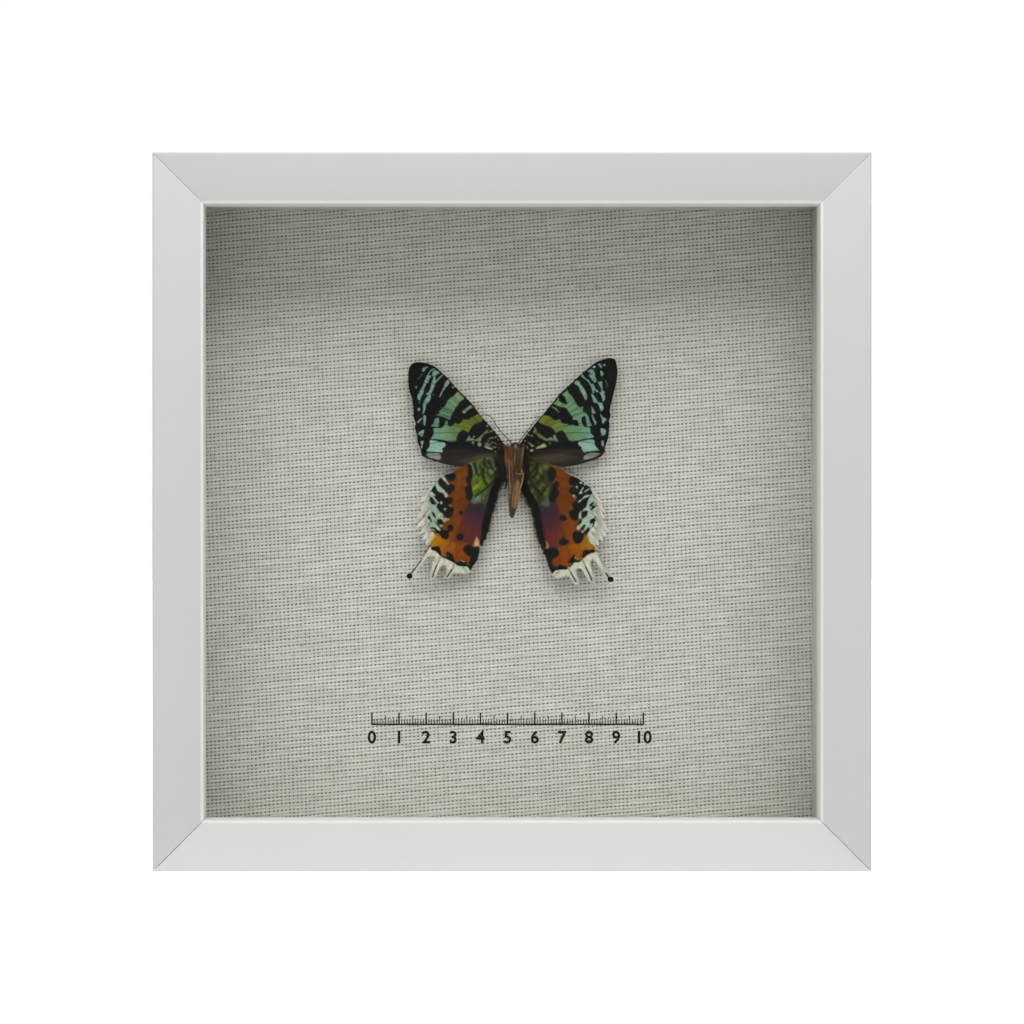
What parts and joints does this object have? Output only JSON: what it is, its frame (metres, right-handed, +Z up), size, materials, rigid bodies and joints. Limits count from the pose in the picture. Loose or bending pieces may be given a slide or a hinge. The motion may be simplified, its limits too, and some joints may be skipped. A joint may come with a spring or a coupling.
{
  "type": "framed butterfly specimen",
  "caption": "Square white box frame with a glazed front, holding a spread, tailed day-flying moth, underside up, on a linen ground above a plain centimetre scale.",
  "frame": {"origin": "middle of the frame's underside, halfway through its depth, on the surface that the frame stands on", "axes": "+Z up, +X to the right as the frame is looked at, -Y out of the glazed front, +Y out of the back"},
  "size_m": [0.25, 0.045, 0.25],
  "materials": {
    "lacquered_rail": "smooth white satin lacquer over wood",
    "pane": "clear float glass, clean",
    "spacer_strip": "matt, faced with pale grey paper",
    "linen_cloth": "open plain weave of slubby, warm grey linen yarn",
    "board": "matt board",
    "hardboard": "smooth brown hardboard",
    "steel": "bright zinc-plated",
    "dried_insect": "black, mint green and rust scales with white and brown hair"
  },
  "bodies": {
    "root": {"rail_bottom": "lacquered_rail", "rail_left": "lacquered_rail", "rail_top": "lacquered_rail", "rail_right": "lacquered_rail", "glass_pane": "pane", "spacer_bottom": "spacer_strip", "spacer_top": "spacer_strip", "spacer_left": "spacer_strip", "spacer_right": "spacer_strip", "linen": "linen_cloth", "mount_board": "board", "back_panel": "hardboard", "tab_1": "steel", "tab_2": "steel", "tab_3": "steel", "tab_4": "steel", "tab_5": "steel", "tab_6": "steel", "tab_7": "steel", "tab_8": "steel", "hanger": "steel", "nail_left": "steel", "nail_right": "steel", "moth": "dried_insect"}
  },
  "joints": []
}
